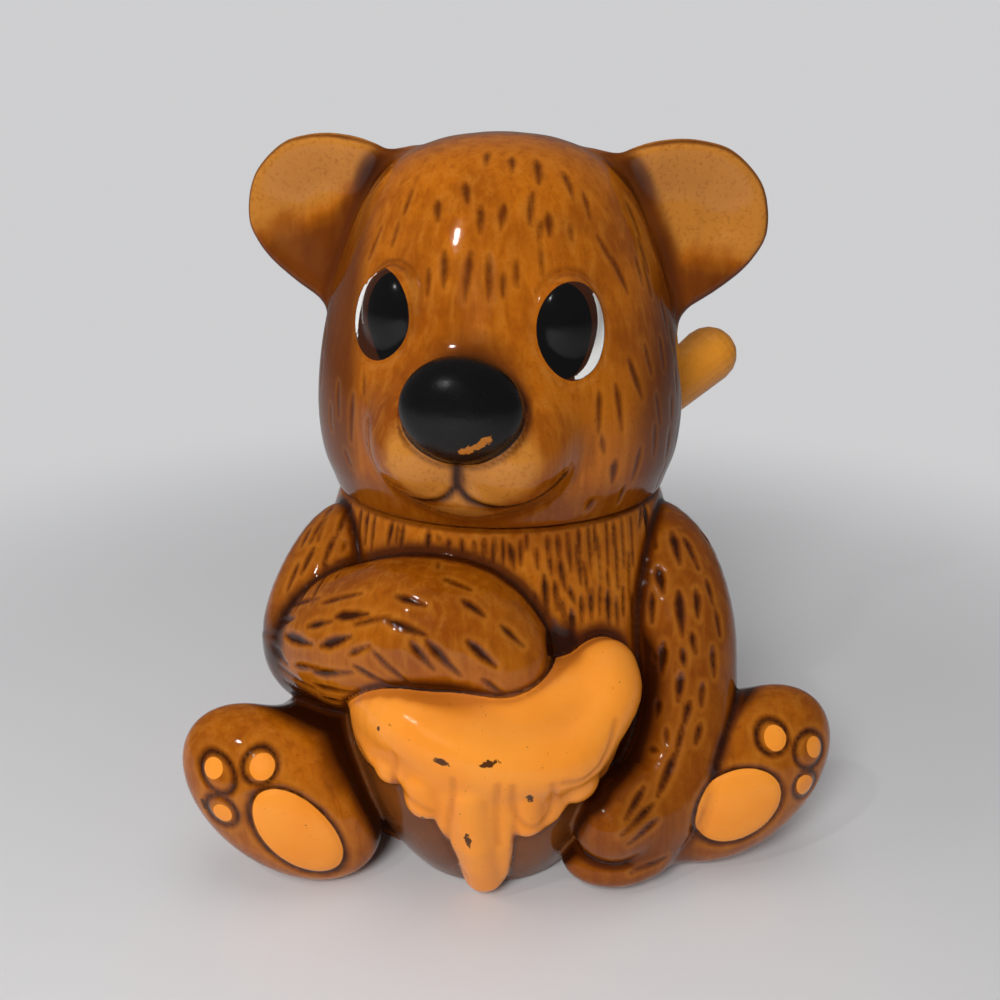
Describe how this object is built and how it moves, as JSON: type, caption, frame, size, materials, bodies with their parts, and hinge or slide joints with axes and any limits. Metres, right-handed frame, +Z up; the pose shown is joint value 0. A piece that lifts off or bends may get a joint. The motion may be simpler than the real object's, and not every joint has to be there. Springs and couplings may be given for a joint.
{
  "type": "honey pot",
  "caption": "Ceramic honey jar shaped as a seated bear holding a small pot, with a lift-off head for a lid and a grooved dipper whose handle leaves through a notch at the back",
  "frame": {"origin": "on the resting face, under the middle of the jar's round mouth", "axes": "+Z up, the bear faces -Y, +X to the viewer's right when the bear is seen from its front"},
  "size_m": [0.125, 0.1022, 0.1353],
  "materials": {
    "amber_glaze_body": "transparent amber gloss glaze over pale slip-cast earthenware, with orange cold paint on the honey and the pads",
    "amber_glaze_head": "transparent amber gloss glaze, with black gloss paint on the eyes and nose",
    "amber_dipper": "smooth mustard orange gloss"
  },
  "bodies": {
    "pot_body": {"pot_body": "amber_glaze_body"},
    "head_lid": {"head_lid": "amber_glaze_head"},
    "dipper": {"dipper": "amber_dipper"}
  },
  "joints": [
    {"name": "lid_lift", "type": "slide", "parent": "pot_body", "child": "head_lid", "axis": [0, 0, 1], "range_m": [0, 0.08]},
    {"name": "dipper_slide", "type": "slide", "parent": "pot_body", "child": "dipper", "axis": [0.783, 0.3005, 0.5446], "range_m": [0, 0.03]}
  ]
}
